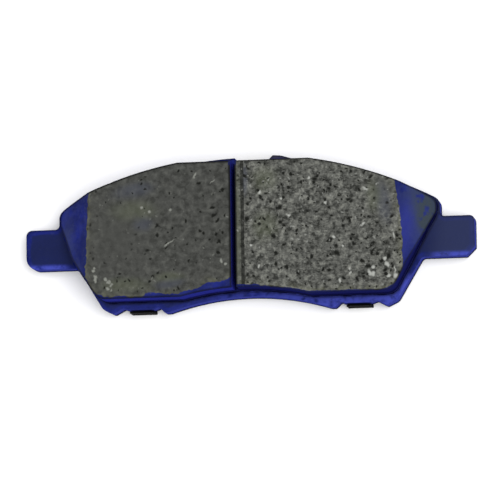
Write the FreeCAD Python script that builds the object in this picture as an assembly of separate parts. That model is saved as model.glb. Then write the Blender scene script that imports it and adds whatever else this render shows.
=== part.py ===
import FreeCAD, Part
import math
import os
from FreeCAD import Vector

# Disc brake pad: a stamped steel plate with two ears, a moulded friction lining in two blocks, and a
# stack of noise shims on its back.
#
# Frame: +X along the pad, +Y away from the wheel's axle, +Z out of the friction face.
# Origin: middle of the pad's length, on the centreline of the ears, on the piston face (the pad's back).
# All sizes are in millimetres.

# Layers, from the back of the pad to its friction face
CLIP_SHIM_T = 0.5
RUBBER_T = 0.15
CORE_T = 0.3
SHIM_ADHESIVE_T = 0.1
PLATE_T = 5.5
BOND_T = 0.1
UNDERLAYER_T = 1.9
BLOCK_T = 8.0

# Both long edges are arcs about the wheel's axle
AXLE_Y = -90.7
PLATE_TOP_R = 116.15
PLATE_BUMP_R = 116.8
PLATE_BOTTOM_R = 75.2
LINING_TOP_R = 115.4
LINING_BOTTOM_R = 76.9
SHIM_TOP_R = 115.0
SHIM_BOTTOM_R = 77.4

# Backing plate outline
PAD_LENGTH = 132.0
EAR_TOP_Y = 6.2
EAR_BOTTOM_Y = -5.6
SHOULDER_X = 56.1
EAR_ROOT_X = 50.6
HEEL_X, HEEL_Y = 43.3, -17.8
FOOT_OUTER_X = 40.1
FOOT_INNER_X = 25.0
FOOT_Y = -19.3
GAP_OUTER_X = 37.2
GAP_INNER_X = 26.6
GAP_Y = -17.75
TONGUE_OUTER_X = 35.5
TONGUE_INNER_X = 28.2
TONGUE_Y = -18.3
NOTCH_LEFT_X, NOTCH_RIGHT_X = -2.7, 5.2
NOTCH_Y = 23.7
NOTCH_LEFT_RAMP = 1.5
NOTCH_RIGHT_RAMP = 2.2
BUMP_END_X = 13.0
BUMP_RUN, BUMP_RISE = 3.0, 0.9
SHOULDER_R = 3.0
SHOULDER_FILLET_R = 1.3
EAR_ROOT_FILLET_R = 1.5
HEEL_R = 2.5
FOOT_R = 0.8
FOOT_TIP_R = 0.4
GAP_R = 0.5
EAR_TOP_RIGHT_R = 1.5
EAR_TOP_LEFT_R = 1.8
EAR_BOTTOM_LEFT_R = 3.6
EAR_BOTTOM_RIGHT_CROP = 2.6
EDGE_BREAK = 0.35

# Moulding holes through the plate, filled by plugs of the underlayer
HOLE_R = 4.1
HOLE_PLACES = ((-36.0, 0.5), (-16.0, 4.5), (13.0, 4.5), (36.0, 0.5))
PLUG_RECESS = 0.2

# Friction lining outline
LINING_END_X = 55.3
LINING_KNEE_Y = 7.1
LINING_LEFT_HIP = (-51.0, -3.8)
LINING_HEEL_X = 42.8
LINING_BOTTOM_Y = -16.1
LINING_TOP_Y = 23.1
LINING_CORNER_R = 3.0
LINING_HEEL_R = 4.0
FACE_BEVEL = 0.45

# Sloped ends of the lining
SLOPE_EDGE_X = 46.1
SLOPE_ANGLE = 37.0
SLOPE_LEAN = 4.0

# Slot between the blocks, and the shallow score line beside it
SLOT_X = -2.9
SLOT_WIDTH = 1.4
SCORE_X = -0.2
SCORE_WIDTH = 0.9
SCORE_DEPTH = 0.3

# Shims
SHIM_END_X = 50.0
SHIM_KNEE_Y = -4.2
SHIM_HEEL_X = 42.4
SHIM_BOTTOM_Y = -16.9
SHIM_CORNER_R = 3.0
LAMINATE_INSET = 1.2
TAB_X = 31.85
TAB_WIDTH = 7.2
TAB_GAP = 0.3
TAB_TIP_Z = 6.4
TAB_TIP_R = 0.8
TOP_TAB_WIDTH = 6.4
TAB_BEND_R = 0.45
RELIEF_WIDTH = 0.8
RELIEF_DEPTH = 1.3

# Levels of the layers
RUBBER_REAR_Z = CLIP_SHIM_T
CORE_Z = RUBBER_REAR_Z + RUBBER_T
RUBBER_FRONT_Z = CORE_Z + CORE_T
SHIM_ADHESIVE_Z = RUBBER_FRONT_Z + RUBBER_T
PLATE_Z = SHIM_ADHESIVE_Z + SHIM_ADHESIVE_T
BOND_Z = PLATE_Z + PLATE_T
UNDERLAYER_Z = BOND_Z + BOND_T
BLOCK_Z = UNDERLAYER_Z + UNDERLAYER_T
FACE_Z = BLOCK_Z + BLOCK_T

# Sizes of helper solids: anything larger than the pad
FAR = 80.0
DEEP = 40.0


def prism(points, z_low, z_high):
    """Straight-sided outline, raised from z_low to z_high."""
    corners = [Vector(x, y, z_low) for x, y in points]
    outline = Part.makePolygon(corners + corners[:1])
    return Part.Face(outline).extrude(Vector(0, 0, z_high - z_low))


def block(x_low, x_high, y_low, y_high, z_low, z_high):
    corner = Vector(x_low, y_low, z_low)
    return Part.makeBox(x_high - x_low, y_high - y_low, z_high - z_low, corner)


def disc(radius, z_low, z_high, x=0.0, y=AXLE_Y):
    return Part.makeCylinder(radius, z_high - z_low, Vector(x, y, z_low))


def both_sides(right_side):
    """Outline from its right half, listed from top to bottom, and the mirror image of that half."""
    left_side = [(-x, y) for x, y in reversed(right_side)]
    return right_side + left_side


def on_arc(x, radius):
    """Height of an arc about the axle, above the point x."""
    return AXLE_Y + math.sqrt(radius ** 2 - x ** 2)


def upright_edges(solid, x, y):
    """Edges that stand parallel to Z at the place x, y."""
    reach = 0.02
    found = []
    for edge in solid.Edges:
        ends = [vertex.Point for vertex in edge.Vertexes]
        near = all(math.hypot(end.x - x, end.y - y) < reach for end in ends)
        if near and len(ends) == 2:
            found.append(edge)
    return found


def round_corners(solid, corners):
    """Round each upright corner given as x, y, radius."""
    for x, y, radius in corners:
        solid = solid.makeFillet(radius, upright_edges(solid, x, y))
    return solid


def mirrored_corners(corners):
    return [(side * x, y, radius) for x, y, radius in corners for side in (1, -1)]


def break_edges(solid, size, levels):
    """Small chamfer on every edge that lies flat on one of the levels."""
    flat = []
    for edge in solid.Edges:
        box = edge.BoundBox
        if any(abs(box.ZMin - z) < 0.01 and abs(box.ZMax - z) < 0.01 for z in levels):
            flat.append(edge)
    return solid.makeChamfer(size, flat)


def plate_blank(z_low, z_high):
    """Outline of the plate, before its notch and holes: a body under the top arc, and the ears."""
    half = PAD_LENGTH / 2
    right_side = [
        (SHOULDER_X, FAR / 2),
        (SHOULDER_X, EAR_BOTTOM_Y),
        (EAR_ROOT_X, EAR_BOTTOM_Y),
        (HEEL_X, HEEL_Y),
        (FOOT_OUTER_X, FOOT_Y),
        (GAP_OUTER_X, GAP_Y),
        (TONGUE_OUTER_X, TONGUE_Y),
        (TONGUE_INNER_X, TONGUE_Y),
        (GAP_INNER_X, GAP_Y),
        (FOOT_INNER_X, FOOT_Y),
    ]
    blank = prism(both_sides(right_side), z_low, z_high)
    blank = blank.common(disc(PLATE_TOP_R, z_low, z_high))
    blank = blank.cut(disc(PLATE_BOTTOM_R, z_low, z_high))
    ears = block(-half, half, EAR_BOTTOM_Y, EAR_TOP_Y, z_low, z_high)
    return blank.fuse(ears).removeSplitter()


def plate_bump(z_low, z_high):
    """Low rise of the top edge to the right of the notch, fading out at BUMP_END_X."""
    end_y = on_arc(BUMP_END_X, PLATE_TOP_R)
    outline = [
        (0, 0),
        (BUMP_END_X, 0),
        (BUMP_END_X, end_y),
        (BUMP_END_X - BUMP_RUN, end_y + BUMP_RISE),
        (0, FAR / 2),
    ]
    return prism(outline, z_low, z_high).common(disc(PLATE_BUMP_R, z_low, z_high))


def plate_notch(z_low, z_high):
    """Notch in the top edge, for the shim's top tab."""
    mouth_left = NOTCH_LEFT_X - NOTCH_LEFT_RAMP
    mouth_right = NOTCH_RIGHT_X + NOTCH_RIGHT_RAMP
    mouth_y = NOTCH_Y + NOTCH_RIGHT_RAMP
    outline = [
        (NOTCH_LEFT_X, NOTCH_Y),
        (NOTCH_RIGHT_X, NOTCH_Y),
        (mouth_right, mouth_y),
        (mouth_right, FAR / 2),
        (mouth_left, FAR / 2),
        (mouth_left, mouth_y),
    ]
    return prism(outline, z_low, z_high)


def round_plate_corners(plate):
    half = PAD_LENGTH / 2
    foot_tip_x = math.sqrt(PLATE_BOTTOM_R ** 2 - (FOOT_Y - AXLE_Y) ** 2)
    same_both_sides = [
        (SHOULDER_X, on_arc(SHOULDER_X, PLATE_TOP_R), SHOULDER_R),
        (SHOULDER_X, EAR_TOP_Y, SHOULDER_FILLET_R),
        (EAR_ROOT_X, EAR_BOTTOM_Y, EAR_ROOT_FILLET_R),
        (HEEL_X, HEEL_Y, HEEL_R),
        (FOOT_OUTER_X, FOOT_Y, FOOT_R),
        (GAP_OUTER_X, GAP_Y, GAP_R),
        (TONGUE_OUTER_X, TONGUE_Y, GAP_R),
        (TONGUE_INNER_X, TONGUE_Y, GAP_R),
        (GAP_INNER_X, GAP_Y, GAP_R),
        (FOOT_INNER_X, FOOT_Y, FOOT_TIP_R),
        (foot_tip_x, FOOT_Y, FOOT_TIP_R),
    ]
    ears = [
        (half, EAR_TOP_Y, EAR_TOP_RIGHT_R),
        (-half, EAR_TOP_Y, EAR_TOP_LEFT_R),
        (-half, EAR_BOTTOM_Y, EAR_BOTTOM_LEFT_R),
    ]
    plate = round_corners(plate, mirrored_corners(same_both_sides) + ears)
    cropped_corner = upright_edges(plate, half, EAR_BOTTOM_Y)
    return plate.makeChamfer(EAR_BOTTOM_RIGHT_CROP, cropped_corner)


def make_backing_plate():
    top = PLATE_Z + PLATE_T
    plate = plate_blank(PLATE_Z, top)
    plate = plate.fuse(plate_bump(PLATE_Z, top)).removeSplitter()
    plate = plate.cut(plate_notch(PLATE_Z, top))
    plate = round_plate_corners(plate)
    plate = break_edges(plate, EDGE_BREAK, (PLATE_Z, top))
    for x, y in HOLE_PLACES:
        plate = plate.cut(disc(HOLE_R, PLATE_Z, top, x, y))
    return plate


def lining_prism(z_low, z_high):
    """Outline of the friction lining and of the layers under it. The left end is a little fuller."""
    outline = [
        (LINING_END_X, LINING_TOP_Y),
        (LINING_END_X, LINING_KNEE_Y),
        (LINING_HEEL_X, LINING_BOTTOM_Y),
        (-LINING_HEEL_X, LINING_BOTTOM_Y),
        LINING_LEFT_HIP,
        (-LINING_END_X, LINING_KNEE_Y),
        (-LINING_END_X, LINING_TOP_Y),
    ]
    lining = prism(outline, z_low, z_high)
    lining = lining.common(disc(LINING_TOP_R, z_low, z_high))
    lining = lining.cut(disc(LINING_BOTTOM_R, z_low, z_high))
    same_both_sides = [
        (LINING_END_X, on_arc(LINING_END_X, LINING_TOP_R), LINING_CORNER_R),
        (LINING_END_X, LINING_KNEE_Y, LINING_CORNER_R),
        (LINING_HEEL_X, LINING_BOTTOM_Y, LINING_HEEL_R),
    ]
    corners = mirrored_corners(same_both_sides) + [LINING_LEFT_HIP + (LINING_CORNER_R,)]
    return round_corners(lining, corners)


def sloped_end(side):
    """Space above the sloped end of the lining: side is 1 at the right and -1 at the left."""
    space = block(0, FAR, -FAR, FAR, 0, DEEP)
    space.rotate(Vector(0, 0, 0), Vector(0, 1, 0), SLOPE_ANGLE)
    space.rotate(Vector(0, 0, 0), Vector(0, 0, 1), SLOPE_LEAN)
    space.translate(Vector(SLOPE_EDGE_X, 0, FACE_Z))
    if side < 0:
        space = space.mirror(Vector(0, 0, 0), Vector(1, 0, 0))
    return space


def bevel_face(lining):
    """Small bevel where the ground face meets the upright walls, left by the mould."""
    rim = []
    for edge in lining.Edges:
        box = edge.BoundBox
        if box.ZMin > FACE_Z - 0.01:
            rim.append(edge)
    return lining.makeChamfer(FACE_BEVEL, rim)


def make_friction_blocks():
    """Left and right block: one lining, sloped at both ends and parted by the slot."""
    lining = bevel_face(lining_prism(BLOCK_Z, FACE_Z))
    lining = lining.cut(sloped_end(1)).cut(sloped_end(-1))
    slot_left = SLOT_X - SLOT_WIDTH / 2
    slot_right = SLOT_X + SLOT_WIDTH / 2
    left = lining.common(block(-FAR, slot_left, -FAR, FAR, BLOCK_Z, FACE_Z))
    right = lining.common(block(slot_right, FAR, -FAR, FAR, BLOCK_Z, FACE_Z))
    score_left = SCORE_X - SCORE_WIDTH / 2
    score_right = SCORE_X + SCORE_WIDTH / 2
    score = block(score_left, score_right, -FAR, FAR, FACE_Z - SCORE_DEPTH, FACE_Z + SCORE_DEPTH)
    return left, right.cut(score)


def make_bond_film():
    film = lining_prism(BOND_Z, UNDERLAYER_Z)
    for x, y in HOLE_PLACES:
        film = film.cut(disc(HOLE_R, BOND_Z, UNDERLAYER_Z, x, y))
    return film


def make_underlayer():
    layer = lining_prism(UNDERLAYER_Z, BLOCK_Z)
    for x, y in HOLE_PLACES:
        layer = layer.fuse(disc(HOLE_R, PLATE_Z + PLUG_RECESS, BLOCK_Z, x, y))
    return layer.removeSplitter()


def shim_sheet(z_low, z_high, inset=0.0):
    """Flat shim outline, made smaller all round by inset."""
    end_x = SHIM_END_X - inset
    heel_x = SHIM_HEEL_X - inset
    bottom_y = SHIM_BOTTOM_Y + inset
    right_side = [(end_x, FAR / 2), (end_x, SHIM_KNEE_Y), (heel_x, bottom_y)]
    sheet = prism(both_sides(right_side), z_low, z_high)
    sheet = sheet.common(disc(SHIM_TOP_R - inset, z_low, z_high))
    sheet = sheet.cut(disc(SHIM_BOTTOM_R + inset, z_low, z_high))
    corners = [
        (end_x, on_arc(end_x, SHIM_TOP_R - inset), SHIM_CORNER_R),
        (end_x, SHIM_KNEE_Y, SHIM_CORNER_R),
        (heel_x, bottom_y, SHIM_CORNER_R),
    ]
    return round_corners(sheet, mirrored_corners(corners))


def edges_along_x(solid, y, z):
    """Edges that run along X at the place y, z."""
    found = []
    for edge in solid.Edges:
        box = edge.BoundBox
        if box.XLength > 1 and abs(box.Center.y - y) < 0.01 and abs(box.Center.z - z) < 0.01:
            found.append(edge)
    return found


def edges_along_y(solid, z):
    """Edges that run along Y at the height z."""
    found = []
    for edge in solid.Edges:
        box = edge.BoundBox
        if box.XLength < 0.01 and box.ZLength < 0.01 and abs(box.Center.z - z) < 0.01:
            found.append(edge)
    return found


def tab(width, inner_y, sheet_y):
    """Tab bent up from the clip shim, centred on X = 0, with the strip that joins it to the sheet.

    inner_y is the face towards the plate, sheet_y a place well inside the sheet.
    """
    outer_y = inner_y + math.copysign(CLIP_SHIM_T, inner_y - sheet_y)
    wall_low, wall_high = sorted((inner_y, outer_y))
    strip_low, strip_high = sorted((outer_y, sheet_y))
    wall = block(-width / 2, width / 2, wall_low, wall_high, 0, TAB_TIP_Z)
    wall = wall.makeFillet(TAB_TIP_R, edges_along_y(wall, TAB_TIP_Z))
    strip = block(-width / 2, width / 2, strip_low, strip_high, 0, CLIP_SHIM_T)
    bent = wall.fuse(strip).removeSplitter()
    return bent.makeFillet(TAB_BEND_R, edges_along_x(bent, outer_y, 0))


def bend_reliefs(centre):
    """Small slots beside a lower tab, which let the sheet bend there."""
    root = TAB_WIDTH / 2
    reliefs = []
    end_y = SHIM_BOTTOM_Y + RELIEF_DEPTH
    for low_x in (centre - root - RELIEF_WIDTH, centre + root):
        reliefs.append(block(low_x, low_x + RELIEF_WIDTH, -FAR, end_y, 0, CLIP_SHIM_T))
    return reliefs


def make_clip_shim():
    shim = shim_sheet(0, CLIP_SHIM_T)
    for centre in (-TAB_X, TAB_X):
        for relief in bend_reliefs(centre):
            shim = shim.cut(relief)
        lower_tab = tab(TAB_WIDTH, TONGUE_Y - TAB_GAP, SHIM_BOTTOM_Y + RELIEF_DEPTH)
        lower_tab.translate(Vector(centre, 0, 0))
        shim = shim.fuse(lower_tab)
    top_tab = tab(TOP_TAB_WIDTH, NOTCH_Y + TAB_GAP, NOTCH_Y - 2 * RELIEF_DEPTH)
    top_tab.translate(Vector((NOTCH_LEFT_X + NOTCH_RIGHT_X) / 2, 0, 0))
    return shim.fuse(top_tab).removeSplitter()


def laminate_layer(z_low, thickness):
    return shim_sheet(z_low, z_low + thickness, LAMINATE_INSET)


def main():
    os.makedirs("parts", exist_ok=True)
    left_block, right_block = make_friction_blocks()
    nodes = {
        "clip_shim": make_clip_shim(),
        "damping_rubber_rear": laminate_layer(RUBBER_REAR_Z, RUBBER_T),
        "damping_core": laminate_layer(CORE_Z, CORE_T),
        "damping_rubber_front": laminate_layer(RUBBER_FRONT_Z, RUBBER_T),
        "shim_adhesive": laminate_layer(SHIM_ADHESIVE_Z, SHIM_ADHESIVE_T),
        "backing_plate": make_backing_plate(),
        "bond_film": make_bond_film(),
        "underlayer": make_underlayer(),
        "friction_block_left": left_block,
        "friction_block_right": right_block,
    }
    for name, shape in nodes.items():
        solids = shape.Solids
        box = shape.BoundBox
        size = (round(box.XLength, 2), round(box.YLength, 2), round(box.ZLength, 2))
        print(name, "solids", len(solids), "valid", shape.isValid(), "size", size)
        solids[0].exportStep("parts/" + name + ".step")


main()
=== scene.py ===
import math

import bmesh
import bpy
import numpy as np
from mathutils import Matrix, Vector
from mathutils.bvhtree import BVHTree
from mathutils.geometry import delaunay_2d_cdt


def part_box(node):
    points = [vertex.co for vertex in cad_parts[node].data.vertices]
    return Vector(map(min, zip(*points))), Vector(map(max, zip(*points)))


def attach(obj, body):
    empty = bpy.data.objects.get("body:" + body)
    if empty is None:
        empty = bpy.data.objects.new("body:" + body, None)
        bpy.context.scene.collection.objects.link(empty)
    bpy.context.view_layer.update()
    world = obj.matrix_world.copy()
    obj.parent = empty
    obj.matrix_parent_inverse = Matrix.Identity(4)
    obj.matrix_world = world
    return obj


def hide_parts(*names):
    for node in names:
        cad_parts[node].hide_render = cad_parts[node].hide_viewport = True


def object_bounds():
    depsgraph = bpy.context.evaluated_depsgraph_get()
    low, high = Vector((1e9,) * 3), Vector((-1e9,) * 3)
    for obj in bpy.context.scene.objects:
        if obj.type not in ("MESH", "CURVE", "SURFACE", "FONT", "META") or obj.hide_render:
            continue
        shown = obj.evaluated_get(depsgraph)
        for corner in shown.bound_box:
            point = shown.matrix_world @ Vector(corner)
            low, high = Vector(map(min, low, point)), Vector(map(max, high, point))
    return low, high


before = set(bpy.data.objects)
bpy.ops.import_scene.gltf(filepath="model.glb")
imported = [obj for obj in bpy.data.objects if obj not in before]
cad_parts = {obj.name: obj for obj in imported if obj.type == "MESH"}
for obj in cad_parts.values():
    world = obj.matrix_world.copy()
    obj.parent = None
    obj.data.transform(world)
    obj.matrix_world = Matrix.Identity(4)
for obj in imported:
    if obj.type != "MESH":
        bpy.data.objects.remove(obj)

# Disc brake pad, lying on its back. Lengths are in millimetres, and metres only in Blender's own data.
# +X runs along the pad, +Y away from the wheel's axle, +Z out of the ground friction face.
#
# A piece's mesh carries named values from 0 to 1 at its points, such as paint or pore, and its material
# reads them to choose colours.

cad_low, cad_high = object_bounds()

MM = 0.001
PER_M = 1000.0

# CAD points closer than WELD are one point; outline points closer than CROWDED are thinned out
WELD = 0.001
CROWDED = 0.09

# Camera: degrees, millimetres, and a focal length for a 36 mm sensor
CAMERA_AZIMUTH = 9.0
CAMERA_TILT = 8.0
CAMERA_ROLL = 0.75
CAMERA_DISTANCE = 1200.0
CAMERA_LENS = 297.5
AIM_RIGHT = 0.4
AIM_UP = -1.8


# ---------------------------------------------------------------- frame helpers

def box_mm(node):
    """Lowest and highest corners of a CAD node, in millimetres."""
    low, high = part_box(node)
    return np.array(low) * PER_M, np.array(high) * PER_M


def cad_tree(node):
    """Ray-casting tree of a CAD node, in millimetres."""
    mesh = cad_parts[node].data
    mesh.calc_loop_triangles()
    points = [vertex.co * PER_M for vertex in mesh.vertices]
    faces = [tuple(triangle.vertices) for triangle in mesh.loop_triangles]
    return BVHTree.FromPolygons(points, faces)


def signed_area(loop):
    """Area inside an outline, positive if it runs counter-clockwise."""
    x, y = loop[:, 0], loop[:, 1]
    return 0.5 * float(np.sum(x * np.roll(y, -1) - np.roll(x, -1) * y))


def section_loops(node, z):
    """Closed outlines of a CAD node at the height z, largest first, each counter-clockwise."""
    work = bmesh.new()
    work.from_mesh(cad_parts[node].data)
    bmesh.ops.scale(work, vec=(PER_M,) * 3, verts=work.verts)
    bmesh.ops.remove_doubles(work, verts=work.verts, dist=WELD)
    everything = work.verts[:] + work.edges[:] + work.faces[:]
    cut = bmesh.ops.bisect_plane(work, geom=everything, plane_co=(0, 0, z), plane_no=(0, 0, 1))
    work.edges.index_update()
    left = {item.index: item for item in cut["geom_cut"] if isinstance(item, bmesh.types.BMEdge)}
    loops = []
    while left:
        edge = left.pop(min(left))
        start, here = edge.verts
        chain = [start]
        while here is not start:
            chain.append(here)
            onward = min(step.index for step in here.link_edges if step.index in left)
            here = left.pop(onward).other_vert(here)
        loop = np.array([tuple(vertex.co.xy) for vertex in chain])
        loops.append(loop if signed_area(loop) > 0 else loop[::-1])
    work.free()
    return sorted(loops, key=lambda loop: -abs(signed_area(loop)))


def resample(loop, spacing):
    """Same outline with neighbours no further apart than spacing, and none crowded at small corners."""
    kept = [loop[0]]
    for point in loop[1:]:
        if np.linalg.norm(point - kept[-1]) > CROWDED and np.linalg.norm(point - loop[0]) > CROWDED:
            kept.append(point)
    loop = np.array(kept)
    points = []
    for here, after in zip(loop, np.roll(loop, -1, axis=0)):
        steps = max(1, math.ceil(float(np.linalg.norm(after - here)) / spacing))
        for step in range(steps):
            points.append(here + (after - here) * step / steps)
    return np.array(points)


def inward(loop):
    """Direction into the outline at each of its points, longer at corners so that offsets keep parallel."""
    ahead = np.roll(loop, -1, axis=0) - loop
    ahead = ahead / np.linalg.norm(ahead, axis=1)[:, None]
    normal = np.stack([-ahead[:, 1], ahead[:, 0]], axis=1)
    both = normal + np.roll(normal, 1, axis=0)
    both = both / np.maximum(np.linalg.norm(both, axis=1)[:, None], 0.2)
    mitre = np.clip(np.sum(both * normal, axis=1), 0.65, 1.0)
    return both / mitre[:, None]


def inside(points, loop):
    """True for each point that lies within the outline."""
    crossings = np.zeros(len(points), dtype=int)
    for (x0, y0), (x1, y1) in zip(loop, np.roll(loop, -1, axis=0)):
        if y0 == y1:
            continue
        spans = (points[:, 1] >= min(y0, y1)) & (points[:, 1] < max(y0, y1))
        at = x0 + (points[:, 1] - y0) * (x1 - x0) / (y1 - y0)
        crossings += spans & (points[:, 0] < at)
    return crossings % 2 == 1


def rim_distance(points, loop):
    """Distance of each point from the outline's nearest point."""
    nearest = np.full(len(points), 1e9)
    for start in range(0, len(points), 4000):
        chunk = points[start:start + 4000]
        apart = chunk[:, None, :] - loop[None, :, :]
        nearest[start:start + 4000] = np.sqrt(np.min(np.sum(apart ** 2, axis=2), axis=1))
    return nearest


def fill_points(loop, spacing, holes=()):
    """Even triangular grid of points inside an outline, clear of its rim and of any holes."""
    low, high = loop.min(axis=0), loop.max(axis=0)
    row_step = spacing * math.sqrt(0.75)
    points = []
    for row in range(int((high[1] - low[1]) / row_step) + 1):
        shift = spacing / 2 * (row % 2)
        x = np.arange(low[0] + shift, high[0], spacing)
        points.append(np.stack([x, np.full(len(x), low[1] + row * row_step)], axis=1))
    points = np.concatenate(points)
    clear = spacing * 0.6
    points = points[inside(points, loop)]
    points = points[rim_distance(points, loop) > clear]
    for hole in holes:
        points = points[~inside(points, hole)]
        points = points[rim_distance(points, hole) > clear]
    return points


# ---------------------------------------------------------------- noise

def lattice(cells, seed):
    """Repeatable random number from 0 to 1 for each whole-number cell."""
    cells = cells.astype(np.int64).astype(np.uint64)
    mixed = cells[:, 0] * np.uint64(73856093) ^ cells[:, 1] * np.uint64(19349663)
    mixed = mixed ^ cells[:, 2] * np.uint64(83492791) ^ np.uint64(seed * 2654435761)
    mixed = (mixed ^ (mixed >> np.uint64(13))) * np.uint64(1274126177)
    mixed = mixed ^ (mixed >> np.uint64(16))
    return (mixed & np.uint64(0xFFFFFF)).astype(float) / 0xFFFFFF


def value_noise(points, size, seed):
    """Smooth noise from 0 to 1 whose bumps are about size across."""
    place = points / size + 1000.0
    cell = np.floor(place)
    part = place - cell
    part = part * part * (3 - 2 * part)
    total = np.zeros(len(points))
    for corner in range(8):
        step = np.array([corner & 1, corner >> 1 & 1, corner >> 2 & 1])
        weight = np.prod(np.where(step, part, 1 - part), axis=1)
        total += weight * lattice(cell + step, seed)
    return total


def fractal_noise(points, size, octaves, seed):
    """Value noise from 0 to 1 with finer bumps on top, each octave half the size of the last."""
    total, reach, share = np.zeros(len(points)), 0.0, 1.0
    for octave in range(octaves):
        total += share * value_noise(points, size / 2 ** octave, seed + octave)
        reach += share
        share *= 0.55
    return total / reach


def smoothstep(low, high, value):
    """0 at low, 1 at high and smooth between; low may be the larger."""
    part = np.clip((value - low) / (high - low), 0, 1)
    return part * part * (3 - 2 * part)


# ---------------------------------------------------------------- mesh helpers

def triangulate(rim, interior):
    """Triangles over an outline and its inner points. Returns points, triangles and the rim's places."""
    points = np.concatenate([rim, interior]) if len(interior) else rim
    made = delaunay_2d_cdt([Vector(point) for point in points], [], [list(range(len(rim)))], 1, 1e-7)
    where = {}
    for new, olds in enumerate(made[3]):
        for old in olds:
            where[old] = new
    return np.array([tuple(point) for point in made[0]]), made[2], [where[i] for i in range(len(rim))]


def stitch(faces, upper, lower):
    """Quads between two closed rings of vertex numbers."""
    count = len(upper)
    for here in range(count):
        after = (here + 1) % count
        faces.append((upper[here], lower[here], lower[after], upper[after]))


class Solid:
    """Points and faces of one closed mesh, with a number of named values at each point."""

    def __init__(self):
        self.points = []
        self.faces = []
        self.values = {}

    def add(self, points):
        """Adds points and returns their numbers."""
        first = sum(len(part) for part in self.points)
        self.points.append(np.asarray(points, dtype=float))
        return list(range(first, first + len(points)))

    def all_points(self):
        return np.concatenate(self.points)

    def make(self, name, sharp=40.0):
        """Blender object of the mesh, smooth up to the given angle in degrees."""
        mesh = bpy.data.meshes.new(name)
        mesh.from_pydata((self.all_points() * MM).tolist(), [], self.faces)
        mesh.update()
        for title, numbers in self.values.items():
            layer = mesh.attributes.new(title, "FLOAT", "POINT")
            layer.data.foreach_set("value", np.asarray(numbers, dtype=np.float32))
        for polygon in mesh.polygons:
            polygon.use_smooth = True
        mesh.set_sharp_from_angle(angle=math.radians(sharp))
        piece = bpy.data.objects.new(name, mesh)
        bpy.context.scene.collection.objects.link(piece)
        return piece


# ---------------------------------------------------------------- friction blocks

# Mesh of the blocks, and the depth of its relief
FACE_SPACING = 0.2
RIM_INSET = 0.05
WALL_SPACING = 0.3
PORE_DEPTH = 0.3
SWELL_DEPTH = 0.05
COAT_DEPTH = 0.1
SLOPE_DEPTH = 0.3
STREAK_DEPTH = 0.1

# Small light flecks all over a block: range of their sizes, their stretch and their strength beside chips
FLECK_SIZE = (0.16, 0.34)
FLECK_STRETCH = 2.6
FLECK_SHARE = 0.55
PORE_STRETCH = 2.0

# The score line's painted shade: half its width, and its strength beside pores
SCORE_HALF = 1.2
SCORE_SHADE = 0.6


class Block:
    """A friction block's node and box, for placing things by their share of its length and height."""

    def __init__(self, node, look):
        self.node = node
        self.low, self.high = box_mm(node)
        self.outward = look["outward"]
        self.slot_x = self.high[0] if self.outward < 0 else self.low[0]

    def at(self, along, up):
        return self.low[:2] + (self.high - self.low)[:2] * np.array([along, up])

    def patch(self, points, along, up, half_x, half_y, turn=0.0):
        """Soft patch: 1 at a place on the block, and 0 from a little outside a turned ellipse around it."""
        away = points[:, :2] - self.at(along, up)
        angle = math.radians(turn)
        across = (away[:, 1] * math.cos(angle) - away[:, 0] * math.sin(angle)) / half_y
        along = (away[:, 0] * math.cos(angle) + away[:, 1] * math.sin(angle)) / half_x
        return smoothstep(1.25, 0.0, np.hypot(along, across))

    def patches(self, points, rows, seed):
        """Sum of soft patches whose outlines are broken up by noise."""
        broken = 0.35 + 1.3 * fractal_noise(points, 3.5, 3, seed)
        return sum((self.patch(points, *row) for row in rows), np.zeros(len(points))) * broken.clip(0, 1)

    def mark(self, along, up, length, width, turn):
        """One scratch."""
        return self.at(along, up), length / 2, width / 2, math.radians(turn)

    def group(self, rng, along, up, spread_x, spread_y, count, size, stretch):
        """Chips or pits strewn around a place; size is the range of their widths."""
        spots = []
        for _ in range(count):
            centre = self.at(along, up) + rng.uniform(-1, 1, 2) * np.array([spread_x, spread_y])
            half = rng.uniform(*size) / 2
            spots.append((centre, half * rng.uniform(1, stretch), half, rng.uniform(0, math.pi)))
        return spots

    def strewn(self, rng, count, size, stretch):
        """Chips or pits all over the block, small ones more often than large."""
        spots = []
        for _ in range(count):
            half = size[0] + (size[1] - size[0]) * rng.random() ** 2
            centre = rng.uniform(self.low[:2], self.high[:2])
            spots.append((centre, half * rng.uniform(1, stretch), half, rng.uniform(0, math.pi)))
        return spots


def spot_field(points, spots):
    """Height from 0 to 1 of the strongest ellipse over each point."""
    field = np.zeros(len(points))
    for centre, half_length, half_width, turn in spots:
        reach = max(half_length, half_width)
        away = points[:, :2] - centre
        near = np.flatnonzero(np.max(np.abs(away), axis=1) < reach)
        along = away[near] @ np.array([math.cos(turn), math.sin(turn)]) / half_length
        across = away[near] @ np.array([-math.sin(turn), math.cos(turn)]) / half_width
        bump = np.clip(1 - along ** 2 - across ** 2, 0, 1)
        field[near] = np.maximum(field[near], bump)
    return field


def top_heights(tree, places, above):
    """Height of the CAD surface under each place."""
    heights = []
    for x, y in places:
        hit = tree.ray_cast(Vector((x, y, above)), Vector((0, 0, -1)))[0]
        heights.append(hit.z)
    return np.array(heights)


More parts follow.
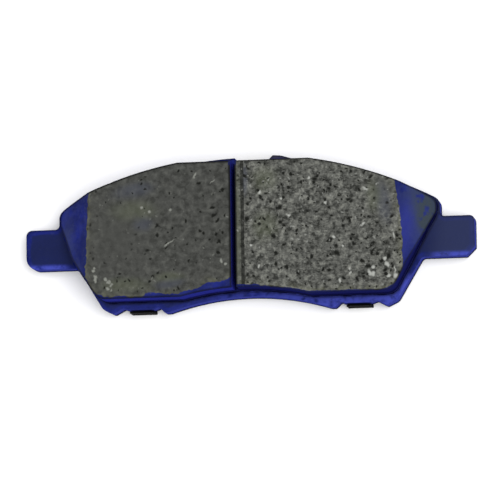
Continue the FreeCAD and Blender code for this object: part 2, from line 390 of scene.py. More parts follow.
def block_shell(block):
    """Closed mesh of a friction block: finely divided face and walls over the CAD shape."""
    low, high = block.low, block.high
    loop = resample(section_loops(block.node, low[2] + 0.1)[0], FACE_SPACING)
    tree = cad_tree(block.node)
    solid = Solid()
    flat, triangles, rim = triangulate(loop, fill_points(loop, FACE_SPACING))
    places = flat.copy()
    places[rim] += inward(loop) * RIM_INSET
    heights = top_heights(tree, places, high[2] + 1)
    top = solid.add(np.column_stack([flat, heights]))
    solid.faces += [tuple(face) for face in triangles]
    upper = [top[i] for i in rim]
    rim_heights = heights[rim]
    rows = math.ceil((high[2] - low[2]) / WALL_SPACING)
    for row in range(1, rows + 1):
        level = rim_heights + (low[2] - rim_heights) * row / rows
        ring = solid.add(np.column_stack([loop, level]))
        stitch(solid.faces, upper, ring)
        upper = ring
    _, triangles, rim = triangulate(loop, [])
    back = dict(zip(rim, upper))
    solid.faces += [tuple(back[i] for i in reversed(face)) for face in triangles]
    return solid, loop, len(top)


def slope_start(block):
    """Distance from the middle, level with the origin, at which the ground face meets the sloped end."""
    tree = cad_tree(block.node)
    top = block.high[2]
    away = abs(block.low[0] + block.high[0]) / 2
    while top_heights(tree, [(block.outward * away, 0.0)], top + 1)[0] > top - 0.02:
        away += 0.05
    return away


def paint_reach(points, block, look, loop, seed):
    """How far, in millimetres, each point lies past the edge of the ground face; positive is painted."""
    side = slope_start(block) + look["lean"] * points[:, 1]
    past_side = points[:, 0] * block.outward - side + look["bow"] * (points[:, 1] + 4) ** 2
    lap_x = block.low[0] + look["lap_from"] * (block.high[0] - block.low[0])
    lap = look["lap"] + look["slot_lap"] * smoothstep(lap_x, block.slot_x, points[:, 0])
    lap = lap + look["lap_ragged"] * (fractal_noise(points, 3.5, 2, seed + 15) - 0.5)
    foot = loop[inward(loop)[:, 1] > 0.5]
    foot = foot[np.argsort(foot[:, 0])]
    past_low = lap - (points[:, 1] - np.interp(points[:, 0], foot[:, 0], foot[:, 1]))
    wobble = fractal_noise(points, 1.6, 3, seed)
    return np.maximum(past_side, past_low) + look["ragged"] * (wobble - 0.5)


def paint_and_wear(points, block, look, reach, wobble, seed):
    """Paint and wear on the block's upper side."""
    paint = smoothstep(-0.3, 0.3, reach)
    slot_away = np.abs(points[:, 0] - block.slot_x)
    slot_side = smoothstep(0.75, 0.35, slot_away + 0.5 * (wobble - 0.5))
    slot_top = smoothstep(-2.2, -0.6, points[:, 1] - block.high[1])
    paint = np.maximum(paint, slot_side * slot_top)
    worn = block.patches(points, look["worn"], seed + 40) * smoothstep(0.2, 0.5, wobble)
    worn = worn.clip(0, 0.95)
    return paint * (1 - 0.3 * worn), worn


def pores_and_flecks(points, block, look, seed):
    """Dark pores and light chips of the friction mix, their outlines bent by noise."""
    rng = np.random.default_rng(seed)
    shift_x, shift_y = (fractal_noise(points, 0.7, 2, seed + more) - 0.5 for more in (50, 60))
    warped = points[:, :2] + 0.7 * np.column_stack([shift_x, shift_y])
    pores = block.strewn(rng, look["pores"], look["pore_size"], PORE_STRETCH)
    pores += [spot for row in look["pits"] for spot in block.group(rng, *row)]
    flecks = block.strewn(rng, look["flecks"], FLECK_SIZE, FLECK_STRETCH)
    chips = [spot for row in look["chips"] for spot in block.group(rng, *row)]
    chips += [block.mark(*row) for row in look["scratches"]]
    fleck = np.maximum(FLECK_SHARE * spot_field(warped, flecks), spot_field(warped, chips))
    patchy = (0.5 + value_noise(points, 0.5, seed + 110)).clip(0, 1)
    return spot_field(warped, pores), fleck * patchy


def sink_face(points, pore, bare, depth, is_top, seed):
    """Lowers the upper side: pores and swells in the bare mix, lumps in the coat, most of all on slopes."""
    swell = SWELL_DEPTH * (1 - fractal_noise(points, 0.8, 2, seed + 5)) * bare
    slope = smoothstep(0.3, 1.2, depth) * is_top
    lumps = (COAT_DEPTH + SLOPE_DEPTH * slope) * fractal_noise(points, 2.6, 3, seed + 9) * (1 - bare)
    points[:, 2] -= np.where(is_top, PORE_DEPTH * pore ** 0.8 + swell + lumps, 0)


def roughen_walls(points, block, loop, is_top, seed):
    """Pulls the walls in by uneven upright streaks, fading to nothing at their foot."""
    wall = ~is_top
    rows = np.count_nonzero(wall) // len(loop)
    into = np.tile(inward(loop), (rows, 1))
    base = smoothstep(0, 0.6, points[wall, 2] - block.low[2])
    streaks = fractal_noise(points[wall] * np.array([1, 1, 0.35]), 1.1, 3, seed + 3)
    points[wall, :2] += into * (STREAK_DEPTH * streaks * base)[:, None]


def friction_block(node, name, seed, look):
    """One friction block with its pores, grain, chips and paint. look holds what differs between the two."""
    block = Block(node, look)
    solid, loop, top_count = block_shell(block)
    points = solid.all_points()
    is_top = np.arange(len(points)) < top_count
    depth = block.high[2] - points[:, 2]
    wobble = fractal_noise(points, 1.6, 3, seed)
    rim_away = rim_distance(points[:, :2], loop)
    reach = paint_reach(points, block, look, loop, seed)
    bare = is_top * (1 - smoothstep(-0.4, 0.0, reach))
    paint, worn = paint_and_wear(points, block, look, reach, wobble, seed)
    calm = block.patches(points, look["calm"], seed + 100)
    pore, fleck = pores_and_flecks(points, block, look, seed)
    pore = pore * bare * (1 - 0.6 * calm)
    # Painted highlight: a light line on the bare face along the edge of the paint
    ridge_highlight = np.exp(-np.maximum(-reach, 0) / 0.6) * bare
    ridge_highlight = ridge_highlight * smoothstep(0.3, 0.6, fractal_noise(points, 1.2, 2, seed + 70))
    # Painted shade down the score line: the bare face is darkened where it dips into the score
    near_score = np.abs(points[:, 0] - block.slot_x - look["score_in"]) < SCORE_HALF
    score_shade_mask = smoothstep(0.1, 0.25, depth) * near_score * is_top

    sink_face(points, pore, bare, depth, is_top, seed)
    roughen_walls(points, block, loop, is_top, seed)
    solid.points = [points]
    solid.values = {
        "paint": np.where(is_top, paint, 1.0),
        "worn": worn,
        "calm": calm,
        # Dark pores, with painted shade down the score line carried in the same value
        "pore": np.maximum(pore, SCORE_SHADE * score_shade_mask),
        "fleck": fleck * bare,
        "ridge_highlight": ridge_highlight,
        # Painted shade: a dark line along the rim of the upper side
        "rim": smoothstep(look["rim"], 0.3 * look["rim"], rim_away) * is_top,
        "haze": block.patches(points, look["haze"], seed + 20),
        "moss": block.patches(points, look["moss"], seed + 30),
        "vivid": block.patches(points, look["vivid"], seed + 80),
        "dust": (block.patches(points, look["dust"], seed + 90) + 0.8 * (wobble - 0.4)).clip(0, 1),
    }
    piece = solid.make(name)
    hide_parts(node)
    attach(piece, "root")
    return piece


# What differs between the two blocks. Lengths are in millimetres.
#   outward, lean, bow: side of the sloped end, and how the ground face's edge there tilts and curves
#   ragged, rim: unevenness of the ground face's edge, and width of the painted shade line along the rim
#   lap...: width of the paint over the lower edge, its growth towards the slot, the share of the block's
#     length where that starts, and its unevenness; score_in: the score line's distance from the slot
#   pores, pore_size, flecks: counts of small pores and flecks all over the block, and the pores' sizes
#   pits, chips: share of the block's length and height, spread along and up, count, sizes, stretch
#   scratches: the two shares, length, width, turn in degrees
#   the other lists are soft patches: the two shares, half length, half height, turn in degrees
LEFT_LOOK = {
    "outward": -1, "lean": -0.05, "bow": 0.0, "ragged": 1.3, "rim": 0.8,
    "lap": 0.3, "slot_lap": 1.9, "lap_from": 0.4, "lap_ragged": 2.8, "score_in": -99.0,
    "pores": 90, "pore_size": (0.2, 0.45), "flecks": 80,
    "pits": [(0.75, 0.5, 11.0, 14.0, 20, (0.6, 1.25), 2.2), (0.45, 0.25, 8.0, 4.0, 3, (0.8, 1.2), 1.4)],
    "chips": [(0.25, 0.15, 5.5, 3.5, 14, (0.8, 1.4), 1.5), (0.95, 0.3, 1.5, 6.0, 3, (0.7, 1.0), 2.0),
              (0.6, 0.7, 7.0, 4.0, 3, (0.8, 1.2), 1.3)],
    "scratches": [(0.8, 0.9, 3.0, 0.8, 60), (0.65, 0.4, 5.0, 0.6, 30), (0.9, 0.85, 2.5, 0.4, 45)],
    "haze": [(0.45, 0.8, 8.0, 3.0, 10), (0.5, 0.55, 4.0, 3.0), (0.65, 0.1, 6.0, 2.0, 10)],
    "moss": [(0.4, 0.1, 10.0, 3.0), (0.45, 0.65, 9.0, 4.0), (0.65, 0.15, 6.0, 2.0)],
    "calm": [(0.35, 0.45, 14.0, 14.0)],
    "vivid": [],
    "dust": [(0.05, 0.45, 3.0, 8.0), (0.1, 0.25, 3.0, 3.0)],
    "worn": [],
}
RIGHT_LOOK = {
    "outward": 1, "lean": 0.0, "bow": 0.0055, "ragged": 0.9, "rim": 0.6,
    "lap": 0.35, "slot_lap": 0.5, "lap_from": 0.2, "lap_ragged": 0.9, "score_in": 2.0,
    "pores": 270, "pore_size": (0.24, 0.6), "flecks": 300,
    "pits": [(0.4, 0.5, 20.0, 15.0, 22, (1.0, 1.6), 1.6), (0.7, 0.25, 5.0, 5.0, 6, (1.0, 1.5), 2.4)],
    "chips": [(0.75, 0.15, 4.5, 3.5, 10, (1.0, 1.8), 1.6), (0.6, 0.1, 5.0, 1.5, 3, (0.9, 1.3), 2.0),
              (0.4, 0.55, 19.0, 15.0, 12, (0.8, 1.1), 2.0)],
    "scratches": [(0.8, 0.4, 2.5, 0.6, 90), (0.8, 0.15, 3.0, 0.5, 100)],
    "haze": [(0.75, 0.65, 3.0, 8.0, 10), (0.05, 0.85, 1.2, 6.0)],
    "moss": [(0.15, 0.85, 5.0, 5.0), (0.15, 0.5, 5.0, 6.0), (0.7, 0.7, 3.0, 6.0),
             (0.0, 0.5, 2.0, 30.0)],
    "calm": [(0.75, 0.75, 4.0, 6.0), (0.0, 0.5, 2.0, 35.0)],
    "vivid": [(0.85, 0.45, 3.5, 14.0, -10)],
    "dust": [(0.9, 0.5, 6.0, 12.0)],
    "worn": [(0.95, 0.65, 6.0, 10.0, 25), (0.95, 0.5, 3.0, 8.0, 20)],
}


# ---------------------------------------------------------------- backing plate

# Mesh of the plate, its edges, and the depth of its relief
PLATE_SPACING = 0.45
HOLE_SPACING = 0.8
CAP_SPACING = 0.5
BACK_SPACING = 3.0
EDGE_ROUND = 0.33
EDGE_STEPS = 5
WALL_ROWS = 10
BACK_CHAMFER = 0.25
FRONT_SWELL = 0.07
EDGE_ROUGH = 0.06


def plate_solid():
    """Stamped plate: rounded front edge, sheared wall, small chamfer behind, moulding holes."""
    low, high = box_mm("backing_plate")
    loops = section_loops("backing_plate", (low[2] + high[2]) / 2)
    outline = resample(loops[0], PLATE_SPACING)
    holes = [resample(hole, HOLE_SPACING) for hole in loops[1:]]
    into = inward(outline)
    solid = Solid()
    rings = []
    for step in range(EDGE_STEPS + 1):
        turn = math.pi / 2 * step / EDGE_STEPS
        offset = EDGE_ROUND * (1 - math.sin(turn))
        level = high[2] - EDGE_ROUND * (1 - math.cos(turn))
        rings.append(np.column_stack([outline + into * offset, np.full(len(outline), level)]))
    wall_low = low[2] + BACK_CHAMFER
    wall_high = high[2] - EDGE_ROUND
    for row in range(1, WALL_ROWS + 1):
        level = wall_high + (wall_low - wall_high) * row / WALL_ROWS
        rings.append(np.column_stack([outline, np.full(len(outline), level)]))
    rings.append(np.column_stack([outline + into * BACK_CHAMFER, np.full(len(outline), low[2])]))
    numbers = [solid.add(ring) for ring in rings]
    for upper, lower in zip(numbers, numbers[1:]):
        stitch(solid.faces, upper, lower)
    hole_tops = [solid.add(np.column_stack([hole, np.full(len(hole), high[2])])) for hole in holes]
    hole_backs = [solid.add(np.column_stack([hole, np.full(len(hole), low[2])])) for hole in holes]
    for upper, lower in zip(hole_tops, hole_backs):
        stitch(solid.faces, lower, upper)
    plate_cap(solid, numbers[0], hole_tops, holes, high[2], CAP_SPACING, 1)
    plate_cap(solid, numbers[-1], hole_backs, holes, low[2], BACK_SPACING, -1)
    return solid, outline, len(rings)


def plate_cap(solid, rim, hole_rims, holes, level, spacing, side):
    """Flat face of the plate between its rim and its holes; side is 1 for the front and -1 for the back."""
    rim_points = solid.all_points()[rim][:, :2]
    inner = fill_points(rim_points, spacing, holes)
    border = [rim] + list(hole_rims)
    known = [number for ring in border for number in ring]
    flat = np.concatenate([solid.all_points()[known][:, :2], inner])
    cycles, first = [], 0
    for ring in border:
        cycles.append(list(range(first, first + len(ring))))
        first += len(ring)
    made = delaunay_2d_cdt([Vector(point) for point in flat], [], cycles, 1, 1e-7)
    numbers = known + solid.add(np.column_stack([inner, np.full(len(inner), level)]))
    where = [numbers[olds[0]] for olds in made[3]]
    places = np.array([tuple(point) for point in made[0]])
    triangles = np.array(made[2])
    centres = places[triangles].mean(axis=1)
    keep = np.ones(len(centres), dtype=bool)
    for hole in holes:
        keep &= ~inside(centres, hole)
    for face in triangles[keep].tolist():
        solid.faces.append(tuple(where[i] for i in face[::side]))


def plate_values(points, outline, into, front, swell):
    """Named values of the plate's points, from their distance to its outline and to the lining."""
    low, high = box_mm("backing_plate")
    _, lining_high = box_mm("underlayer")
    lining = resample(section_loops("underlayer", lining_high[2] - 0.3)[0], 0.5)
    x, y, z = points.T
    edge_away = rim_distance(points[:, :2], outline)
    lining_away = rim_distance(points[:, :2], lining)
    outside = ~inside(points[:, :2], lining)
    faces_away = smoothstep(-0.25, 0.25, -into[:, 1]) * (np.abs(into).sum(axis=1) > 0)
    bump_top = smoothstep(high[1] - 1.6, high[1] - 0.8, y) * (x > 0)
    # Painted light: the lower band and the ears' feet brightened, more towards the right where the light
    # falls
    to_right = smoothstep(-20, 20, x)
    low_band = smoothstep(-9.0, -13.0, y) * (0.2 + 0.8 * to_right)
    ear_foot = smoothstep(-3.9, -4.9, y) * smoothstep(52, 56, np.abs(x))
    return {
        "rim": 1 - smoothstep(0.3, 2.0, edge_away + 1.0 * (swell - 0.5)),
        # Painted shade in the crease round the lining's foot
        "crease_shade": outside * smoothstep(0.9, 0.2, lining_away) * front * smoothstep(-47, -40, x),
        "lower": np.maximum(low_band, ear_foot) * front,
        # Painted light: the right ear lighter, where the light falls
        "pale": smoothstep(48, 58, x) * front,
        "rubbed": bump_top * front,
        # Painted shade: a dark line along the far edges of the front
        "brink_shade": faces_away * smoothstep(0.5, 0.15, edge_away) * (z > low[2] + 1),
    }


def backing_plate():
    """The plate with a gently uneven face and rough sheared walls."""
    solid, outline, ring_count = plate_solid()
    _, high = box_mm("backing_plate")
    points = solid.all_points()
    front = smoothstep(high[2] - 0.34, high[2] - 0.05, points[:, 2])
    swell = fractal_noise(points, 5.0, 3, 31)
    into = np.zeros((len(points), 2))
    into[:len(outline) * ring_count] = np.tile(inward(outline), (ring_count, 1))
    rough = fractal_noise(points * np.array([1, 1, 0.5]), 1.2, 3, 33)
    solid.values = plate_values(points, outline, into, front, swell)
    points[:, 2] -= FRONT_SWELL * front * swell
    points[:, :2] += into * (EDGE_ROUGH * rough * (1 - front))[:, None]
    solid.points = [points]
    piece = solid.make("stamped_plate")
    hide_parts("backing_plate")
    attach(piece, "root")
    return piece


# Closed section of the bead round the lining's foot: share of its reach outward, and level over the plate
SKIRT_SECTION = ((-0.25, 1.3), (0.12, 0.95), (0.55, 0.5), (1.0, 0.12), (1.0, 0.0), (-0.25, 0.0))


def lining_skirt():
    """Lumpy moulding flash and paint build-up along the foot of the lining."""
    _, high = box_mm("underlayer")
    _, plate_high = box_mm("backing_plate")
    loop = resample(section_loops("underlayer", high[2] - 0.3)[0], 0.3)
    out = -inward(loop)
    there = np.column_stack([loop, np.zeros(len(loop))])
    lumps = fractal_noise(there, 2.4, 3, 61) * 1.1 - 0.25
    left_end = smoothstep(-44, -50, loop[:, 0]) * smoothstep(-12, -6, loop[:, 1])
    reach = np.clip(lumps, 0.08, 0.6) * (0.5 + 1.2 * left_end)
    solid = Solid()
    shade = smoothstep(-48, -42, loop[:, 0])
    rings = []
    for share, level in SKIRT_SECTION:
        offset = np.where(share > 0, reach * share, share)
        height = plate_high[2] + level * (0.6 + 0.8 * lumps.clip(0, 0.8))
        rings.append(solid.add(np.column_stack([loop + out * offset[:, None], height])))
    for upper, lower in zip(rings, rings[1:] + rings[:1]):
        stitch(solid.faces, upper, lower)
    solid.values = {"shade": np.tile(shade, len(rings))}
    piece = solid.make("lining_skirt", 60.0)
    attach(piece, "root")
    return piece


# ---------------------------------------------------------------- materials

def srgb(red, green, blue):
    """Linear colour for a screen colour given from 0 to 255."""
    parts = [value / 255 for value in (red, green, blue)]
    return tuple(p / 12.92 if p <= 0.04045 else ((p + 0.055) / 1.055) ** 2.4 for p in parts) + (1.0,)


class Shader:
    """Small helper that builds one material's nodes."""

    def __init__(self, name):
        self.material = bpy.data.materials.new(name)
        self.material.use_nodes = True
        self.tree = self.material.node_tree
        self.surface = self.tree.nodes["Principled BSDF"]
        metres = self.node("ShaderNodeTexCoord").outputs["Object"]
        inputs = {0: metres, "Scale": PER_M}
        self.place = self.node("ShaderNodeVectorMath", inputs, operation="SCALE").outputs[0]

    def node(self, kind, inputs=None, **settings):
        """New node; each input is another node's output or a plain value."""
        made = self.tree.nodes.new(kind)
        for key, value in settings.items():
            setattr(made, key, value)
        for key, value in (inputs or {}).items():
            if isinstance(value, bpy.types.NodeSocket):
                self.tree.links.new(value, made.inputs[key])
            else:
                made.inputs[key].default_value = value
        return made

    def math(self, operation, first, second=0.0, third=0.0):
        return self.node("ShaderNodeMath", {0: first, 1: second, 2: third}, operation=operation).outputs[0]

    def scaled(self, value, share):
        return self.math("MULTIPLY", value, share)

    def noise(self, size, detail=3.0, roughness=0.6, distortion=0.0, place=None, offset=0.0):
        """Noise from 0 to 1 whose bumps are about size millimetres across; offset moves it elsewhere."""
        place = place or self.place
        if offset:
            place = self.node("ShaderNodeVectorMath", {0: place, 1: (offset,) * 3}).outputs[0]
        inputs = {"Vector": place, "Scale": 1 / size, "Detail": detail, "Roughness": roughness,
                  "Distortion": distortion}
        return self.node("ShaderNodeTexNoise", inputs).outputs["Fac"]

    def stretched(self, turn, ratio):
        """Coordinates drawn out along one direction in the face, for fibres and streaks."""
        inputs = {"Vector": self.place, "Rotation": (0, 0, math.radians(turn)), "Scale": (1 / ratio, 1, 1)}
        return self.node("ShaderNodeMapping", inputs).outputs[0]

    def ramp(self, value, low, high):
        """0 where the value is at low, 1 where it is at high, smooth between; low may be the larger."""
        inputs = {"Value": value, "From Min": low, "From Max": high}
        return self.node("ShaderNodeMapRange", inputs, interpolation_type="SMOOTHSTEP").outputs[0]

    def mix(self, share, first, second):
        """Colour that goes from the first to the second as share goes from 0 to 1."""
        inputs = {"Factor": share, 6: first, 7: second}
        return self.node("ShaderNodeMix", inputs, data_type="RGBA").outputs[2]

    def value(self, title):
        """A named value of the mesh's points."""
        return self.node("ShaderNodeAttribute", attribute_name=title).outputs["Fac"]

    def bump(self, height, distance):
        """Normal of a surface whose relief is the height times a distance in millimetres."""
        inputs = {"Height": height, "Distance": distance * MM, "Strength": 1.0}
        return self.node("ShaderNodeBump", inputs).outputs[0]

    def connect(self, **inputs):
        """Sets the surface's sockets, named with _ for a space, to outputs or to constants."""
        for title, value in inputs.items():
            socket = self.surface.inputs[title.replace("_", " ")]
            if isinstance(value, bpy.types.NodeSocket):
                self.tree.links.new(value, socket)
            else:
                socket.default_value = value


# Brightness that the studio light gives a white face turned to the camera
LIGHT_LEVEL = 1.36


def seen(red, green, blue):
    """Base colour that shows as the given screen colour on a face turned to the camera."""
    parts = srgb(red, green, blue)[:3]
    return tuple(part / LIGHT_LEVEL for part in parts) + (1.0,)


PAINT_DEEP = seen(15, 27, 96)
PAINT_BRIGHT = seen(27, 39, 128)
PAINT_GREY = seen(24, 33, 74)
PAINT_DUST = seen(52, 61, 108)
# PAINT_NAVY and PAINT_BLACK serve as painted shade
PAINT_NAVY = seen(11, 12, 44)
PAINT_BLACK = seen(7, 8, 22)

# A face whose normal leans up or down by less than this is part of a wall
UPRIGHT = 0.55


def paint_colour(shader):
    """Powder coat: deep blue with brighter and dustier patches."""
    broad = shader.noise(6.0, 3.0)
    fine = shader.noise(1.1, 4.0, 0.65, offset=13.0)
    colour = shader.mix(shader.ramp(broad, 0.4, 0.68), PAINT_DEEP, PAINT_BRIGHT)
    return shader.mix(shader.scaled(shader.ramp(fine, 0.5, 0.8), 0.6), colour, PAINT_DUST)


# Turn of each set of fibres in degrees, and the offset that makes its noise its own
FIBRES = ((35.0, 21.0), (-50.0, 37.0), (80.0, 51.0))


def composite_colour(shader, tones, contrast, grain_size):
    """Ground friction mix: grains and fibres in a grey matrix. tones: dark, middle, light."""
    dark, middle, light = tones
    grain = shader.noise(grain_size, 3.0, 0.55, 0.3)
    fine = shader.noise(0.34, 3.0, 0.6, offset=7.0)
    colour = shader.mix(shader.ramp(grain, 0.34, 0.52), dark, middle)
    colour = shader.mix(shader.ramp(grain, 0.5, 0.7), colour, light)
    colour = shader.mix(shader.scaled(shader.ramp(fine, 0.5, 0.3), 0.5 * contrast), colour, dark)
    colour = shader.mix(shader.scaled(shader.ramp(fine, 0.55, 0.8), 0.5 * contrast), colour, light)
    for turn, offset in FIBRES:
        strands = shader.noise(0.4, 2.0, 0.5, place=shader.stretched(turn, 3.5), offset=offset)
        colour = shader.mix(shader.scaled(shader.ramp(strands, 0.62, 0.74), 0.7 * contrast), colour, dark)
        colour = shader.mix(shader.scaled(shader.ramp(strands, 0.38, 0.28), 0.5 * contrast), colour, light)
    return colour, grain, fine


def bare_colour(shader, colour, middle, chip):
    """The ground face's blemishes over the friction mix's colour, with a painted highlight along the ridge
    and painted shade in the score line and along the rim.
    """
    value, ramp, mix, scaled = shader.value, shader.ramp, shader.mix, shader.scaled
    colour = mix(scaled(value("calm"), 0.65), colour, middle)
    colour = mix(scaled(ramp(value("haze"), 0.0, 0.9), 0.5), colour, seen(76, 80, 92))
    colour = mix(scaled(ramp(value("moss"), 0.0, 0.9), 0.4), colour, seen(96, 101, 82))
    # Painted highlight along the ridge
    colour = mix(scaled(value("ridge_highlight"), 0.75), colour, seen(116, 117, 96))
    # Dark pores, and painted shade down the score line
    colour = mix(ramp(value("pore"), 0.0, 0.9), colour, seen(28, 29, 26))
    colour = mix(ramp(value("fleck"), 0.0, 1.0), colour, chip)
    # Painted shade: the dark line along the rim
    return mix(scaled(value("rim"), 0.95), colour, seen(20, 21, 22))


def worn_paint_colour(shader):
    """The coat on the blocks' sloped ends, with dust and wear, and painted shade along the rim."""
    value, mix, scaled = shader.value, shader.mix, shader.scaled
    colour = mix(scaled(value("dust"), 0.75), paint_colour(shader), PAINT_DUST)
    colour = mix(value("worn"), colour, seen(56, 66, 74))
    colour = mix(scaled(value("vivid"), 0.6), colour, seen(42, 50, 142))
    # Painted shade along the rim, over the coat too
    return mix(scaled(value("rim"), 0.7), colour, PAINT_BLACK)


def lining_material(name, tones, chip, contrast, grain_size):
    """Bare ground mix on the face and blue coat where the paint value says so."""
    shader = Shader(name)
    mixture, grain, fine = composite_colour(shader, tones, contrast, grain_size)
    bare = bare_colour(shader, mixture, tones[1], chip)
    coat = worn_paint_colour(shader)
    uneven = shader.math("SUBTRACT", shader.noise(0.5, 4.0, 0.7, offset=5.0), 0.5)
    ragged = shader.math("MULTIPLY_ADD", uneven, 0.5, shader.value("paint"))
    painted = shader.ramp(ragged, 0.3, 0.7)
    rough = shader.math("MULTIPLY_ADD", painted, -0.3, 0.88)
    height = shader.math("ADD", shader.scaled(grain, 0.7), shader.scaled(fine, 0.3))
    shader.connect(Base_Color=shader.mix(painted, bare, coat), Roughness=rough,
                   Normal=shader.bump(height, 0.1 * contrast), Specular_IOR_Level=0.08)
    return shader.material


def edge_material(name, upper, lower, low_z, high_z):
    """Matt coat on upright walls, darker towards their foot as painted shade."""
    shader = Shader(name)
    height = shader.node("ShaderNodeSeparateXYZ", {0: shader.place}).outputs["Z"]
    uneven = shader.math("ADD", height, shader.scaled(shader.noise(1.4, 3.0), 1.2))
    # Painted shade: darker towards the foot
    colour = shader.mix(shader.ramp(uneven, low_z + 0.6, high_z + 0.6), lower, upper)
    blotches = shader.ramp(shader.noise(0.8, 4.0, 0.65), 0.5, 0.75)
    colour = shader.mix(shader.scaled(blotches, 0.45), colour, lower)
    pimples = shader.noise(0.5, 3.0, 0.6, offset=4.0)
    shader.connect(Base_Color=colour, Roughness=0.85, Normal=shader.bump(pimples, 0.08),
                   Specular_IOR_Level=0.0)
    return shader.material


def plate_material():
    """Blue powder coat with orange peel, brighter rims and a greyer middle; painted light on the right ear
    and the lower band, painted shade in the creases and along the far edges.
    """
    shader = Shader("powder_coat")
    value, mix, scaled = shader.value, shader.mix, shader.scaled
    greyer = shader.ramp(shader.math("SUBTRACT", shader.noise(3.0, 4.0), value("rim")), -0.1, 0.5)
    colour = mix(scaled(greyer, 0.85), paint_colour(shader), PAINT_GREY)
    # Painted light on the right ear
    colour = mix(scaled(value("pale"), 0.55), colour, seen(52, 60, 94))
    blotches = shader.ramp(shader.noise(2.2, 4.0, offset=3.0), 0.25, 0.6)
    # Painted light on the lower band and the ears' feet, mottled
    mottled = shader.math("MULTIPLY", value("lower"), blotches)
    colour = mix(scaled(mottled, 0.95), colour, seen(70, 80, 186))
    colour = mix(scaled(value("rubbed"), 0.85), colour, seen(66, 64, 72))
    # Painted shade in the crease
    colour = mix(scaled(value("crease_shade"), 0.75), colour, PAINT_BLACK)
    # Painted shade along the far edges
    colour = mix(scaled(value("brink_shade"), 0.85), colour, PAINT_BLACK)
    peel = shader.noise(0.9, 2.0, 0.5, offset=2.0)
    shader.connect(Base_Color=colour, Roughness=0.5, Normal=shader.bump(peel, 0.05),
                   Specular_IOR_Level=0.06)
    return shader.material


def coat_material(name, base, other, size, roughness, level=0.03):
    """Plain coated or moulded surface with soft mottling and rub marks, for the parts that hardly show."""
    shader = Shader(name)
    mottle = shader.ramp(shader.noise(size, 4.0), 0.35, 0.7)
    rubs = shader.noise(size / 3, 3.0, 0.6, place=shader.stretched(25.0, 6.0), offset=9.0)
    colour = shader.mix(mottle, base, other)
    colour = shader.mix(shader.scaled(shader.ramp(rubs, 0.6, 0.75), 0.5), colour, other)
    rough = shader.math("MULTIPLY_ADD", rubs, 0.2, roughness - 0.1)
    grain = shader.noise(size / 6, 2.0)
    shader.connect(Base_Color=colour, Roughness=rough, Normal=shader.bump(grain, 0.02),
                   Specular_IOR_Level=level)
    return shader.material


def assign(piece, material, edge=None):
    """Give a piece its material, and its upright faces another one if there is one."""
    piece.data.materials.clear()
    piece.data.materials.append(material)
    if edge:
        piece.data.materials.append(edge)
        for polygon in piece.data.polygons:
            is_wall = len(polygon.vertices) == 4 and abs(polygon.normal.z) < UPRIGHT
            polygon.material_index = int(is_wall)


def skirt_material():
    """Paint build-up, bright at the left end and in shade along the rest of the lining."""
    shader = Shader("skirt_paint")
    colour = shader.mix(shader.value("shade"), paint_colour(shader), PAINT_NAVY)
    blotches = shader.ramp(shader.noise(1.0, 3.0), 0.45, 0.7)
    colour = shader.mix(shader.scaled(blotches, 0.5), colour, PAINT_GREY)
    lumps = shader.noise(0.5, 2.0)
    shader.connect(Base_Color=colour, Roughness=0.6, Normal=shader.bump(lumps, 0.06),
                   Specular_IOR_Level=0.0)
    return shader.material


# ---------------------------------------------------------------- stage, light and camera

# In metres: half the floor's width, and its gap under the part
FLOOR_HALF = 8.0
FLOOR_GAP = 0.00002


def stage_floor():
    """Plain pale floor just under the part."""
    mesh = bpy.data.meshes.new("floor")
    corners = [(x * FLOOR_HALF, y * FLOOR_HALF, 0) for x, y in ((-1, -1), (1, -1), (1, 1), (-1, 1))]
    mesh.from_pydata(corners, [], [(0, 1, 2, 3)])
    floor = bpy.data.objects.new("floor", mesh)
    floor.location.z = cad_low.z - FLOOR_GAP
    bpy.context.scene.collection.objects.link(floor)
    shader = Shader("pale_floor")
    tone = shader.mix(shader.noise(400.0, 2.0), (0.93, 0.93, 0.93, 1), (0.96, 0.96, 0.96, 1))
    shader.connect(Base_Color=tone, Roughness=0.9, Specular_IOR_Level=0.0)
    assign(floor, shader.material)


def sun(name, azimuth, tilt, strength, spread):
    """Soft sun; azimuth is measured from +X towards +Y, tilt away from straight overhead."""
    lamp = bpy.data.lights.new(name, "SUN")
    lamp.energy = strength
    lamp.angle = math.radians(spread)
    light = bpy.data.objects.new(name, lamp)
    turn, lean = math.radians(azimuth), math.radians(tilt)
    towards = Vector((math.cos(turn) * math.sin(lean), math.sin(turn) * math.sin(lean), math.cos(lean)))
    light.rotation_mode = "QUATERNION"
    light.rotation_quaternion = towards.to_track_quat("Z", "Y")
    bpy.context.scene.collection.objects.link(light)


# Strength of the white surroundings, as the part and the floor receive them
WORLD_LEVEL = 0.66


def studio_light():
    """White surroundings, dimmer as light than they show behind the part, and one soft sun."""
    world = bpy.data.worlds.new("studio")
    world.use_nodes = True
    bpy.context.scene.world = world
    tree = world.node_tree
    background = tree.nodes["Background"]
    light_path = tree.nodes.new("ShaderNodeLightPath")
    strength = tree.nodes.new("ShaderNodeMapRange")
    strength.inputs["To Min"].default_value = WORLD_LEVEL
    strength.inputs["To Max"].default_value = 1.0
    tree.links.new(light_path.outputs["Is Camera Ray"], strength.inputs["Value"])
    tree.links.new(strength.outputs[0], background.inputs["Strength"])
    background.inputs["Color"].default_value = (1, 1, 1, 1)
    sun("key", azimuth=-10, tilt=20, strength=2.4, spread=45)


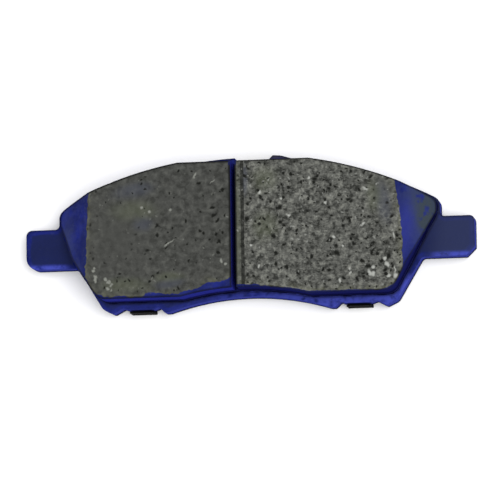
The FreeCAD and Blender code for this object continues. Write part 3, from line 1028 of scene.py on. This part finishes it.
def camera():
    """Camera above the part, aimed a little beside the middle of the plate's front."""
    azimuth, tilt, roll = (math.radians(angle) for angle in (CAMERA_AZIMUTH, CAMERA_TILT, CAMERA_ROLL))
    sideways, leaning = math.sin(azimuth), math.cos(azimuth)
    right = Vector((leaning, 0, -sideways))
    back = Vector((sideways * math.cos(tilt), -math.sin(tilt), leaning * math.cos(tilt)))
    up = back.cross(right)
    image_right = math.cos(roll) * right - math.sin(roll) * up
    image_up = math.sin(roll) * right + math.cos(roll) * up
    _, plate_high = box_mm("backing_plate")
    pivot = Vector((0, 0, plate_high[2]))
    place = pivot + back * CAMERA_DISTANCE + image_right * AIM_RIGHT + image_up * AIM_UP
    data = bpy.data.cameras.new("camera")
    data.sensor_width = 36
    data.lens = CAMERA_LENS
    data.clip_start = 0.05
    data.clip_end = 30
    eye = bpy.data.objects.new("camera", data)
    turn = Matrix((image_right, image_up, back)).transposed().to_4x4()
    eye.matrix_world = Matrix.Translation(place * MM) @ turn
    bpy.context.scene.collection.objects.link(eye)
    bpy.context.scene.camera = eye


# ---------------------------------------------------------------- build

LEFT_SEED = 11
RIGHT_SEED = 23

left = friction_block("friction_block_left", "lining_left", LEFT_SEED, LEFT_LOOK)
right = friction_block("friction_block_right", "lining_right", RIGHT_SEED, RIGHT_LOOK)
plate = backing_plate()
skirt = lining_skirt()

# Friction mixes: dark, middle and light tone, and the light chips; then contrast and grain size
left_tones = seen(58, 59, 56), seen(74, 75, 72), seen(90, 91, 87)
left_chip = seen(140, 142, 135)
left_mix = lining_material("mix_left", left_tones, left_chip, contrast=0.4, grain_size=1.7)
right_tones = seen(50, 51, 48), seen(92, 93, 89), seen(132, 133, 126)
right_chip = seen(178, 180, 174)
right_mix = lining_material("mix_right", right_tones, right_chip, contrast=0.9, grain_size=1.35)

# Walls: colour above, colour at the foot, and the levels between which they change. The darker foot is
# painted shade, and the left lining's walls are a lit copy and the right lining's a shaded copy of one coat.
left_wall_lit = edge_material("left_wall_lit", seen(42, 48, 144), seen(16, 17, 66), low_z=8.5, high_z=12.0)
right_wall_shaded = edge_material("right_wall_shaded", seen(26, 30, 92), seen(12, 13, 54), low_z=8.5, high_z=13.0)
plate_wall = edge_material("plate_wall", seen(62, 70, 160), seen(8, 9, 32), low_z=2.0, high_z=4.2)

assign(left, left_mix, left_wall_lit)
assign(right, right_mix, right_wall_shaded)
assign(plate, plate_material(), plate_wall)
assign(skirt, skirt_material())
# Painted shade: the underlayer's and bond film's walls take the shaded wall's dark navy at the lining's foot
shaded_wall_paint = coat_material("shaded_wall_paint", seen(12, 13, 52), seen(26, 30, 92), 1.6, 0.6)
assign(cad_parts["underlayer"], shaded_wall_paint)
assign(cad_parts["bond_film"], shaded_wall_paint)
assign(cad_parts["clip_shim"], coat_material("shim_coat", seen(2, 2, 3), seen(8, 9, 11), 4.0, 0.8))
rubber = coat_material("damping_rubber", seen(24, 24, 24), seen(34, 34, 33), 2.0, 0.8)
assign(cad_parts["damping_rubber_rear"], rubber)
assign(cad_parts["damping_rubber_front"], rubber)
steel = coat_material("shim_steel", seen(60, 61, 63), seen(84, 85, 87), 3.0, 0.5, 0.4)
assign(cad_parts["damping_core"], steel)
assign(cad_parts["shim_adhesive"], coat_material("glue", seen(58, 48, 34), seen(78, 66, 46), 2.0, 0.7))

stage_floor()
studio_light()
camera()
bpy.context.scene.view_settings.view_transform = "Standard"
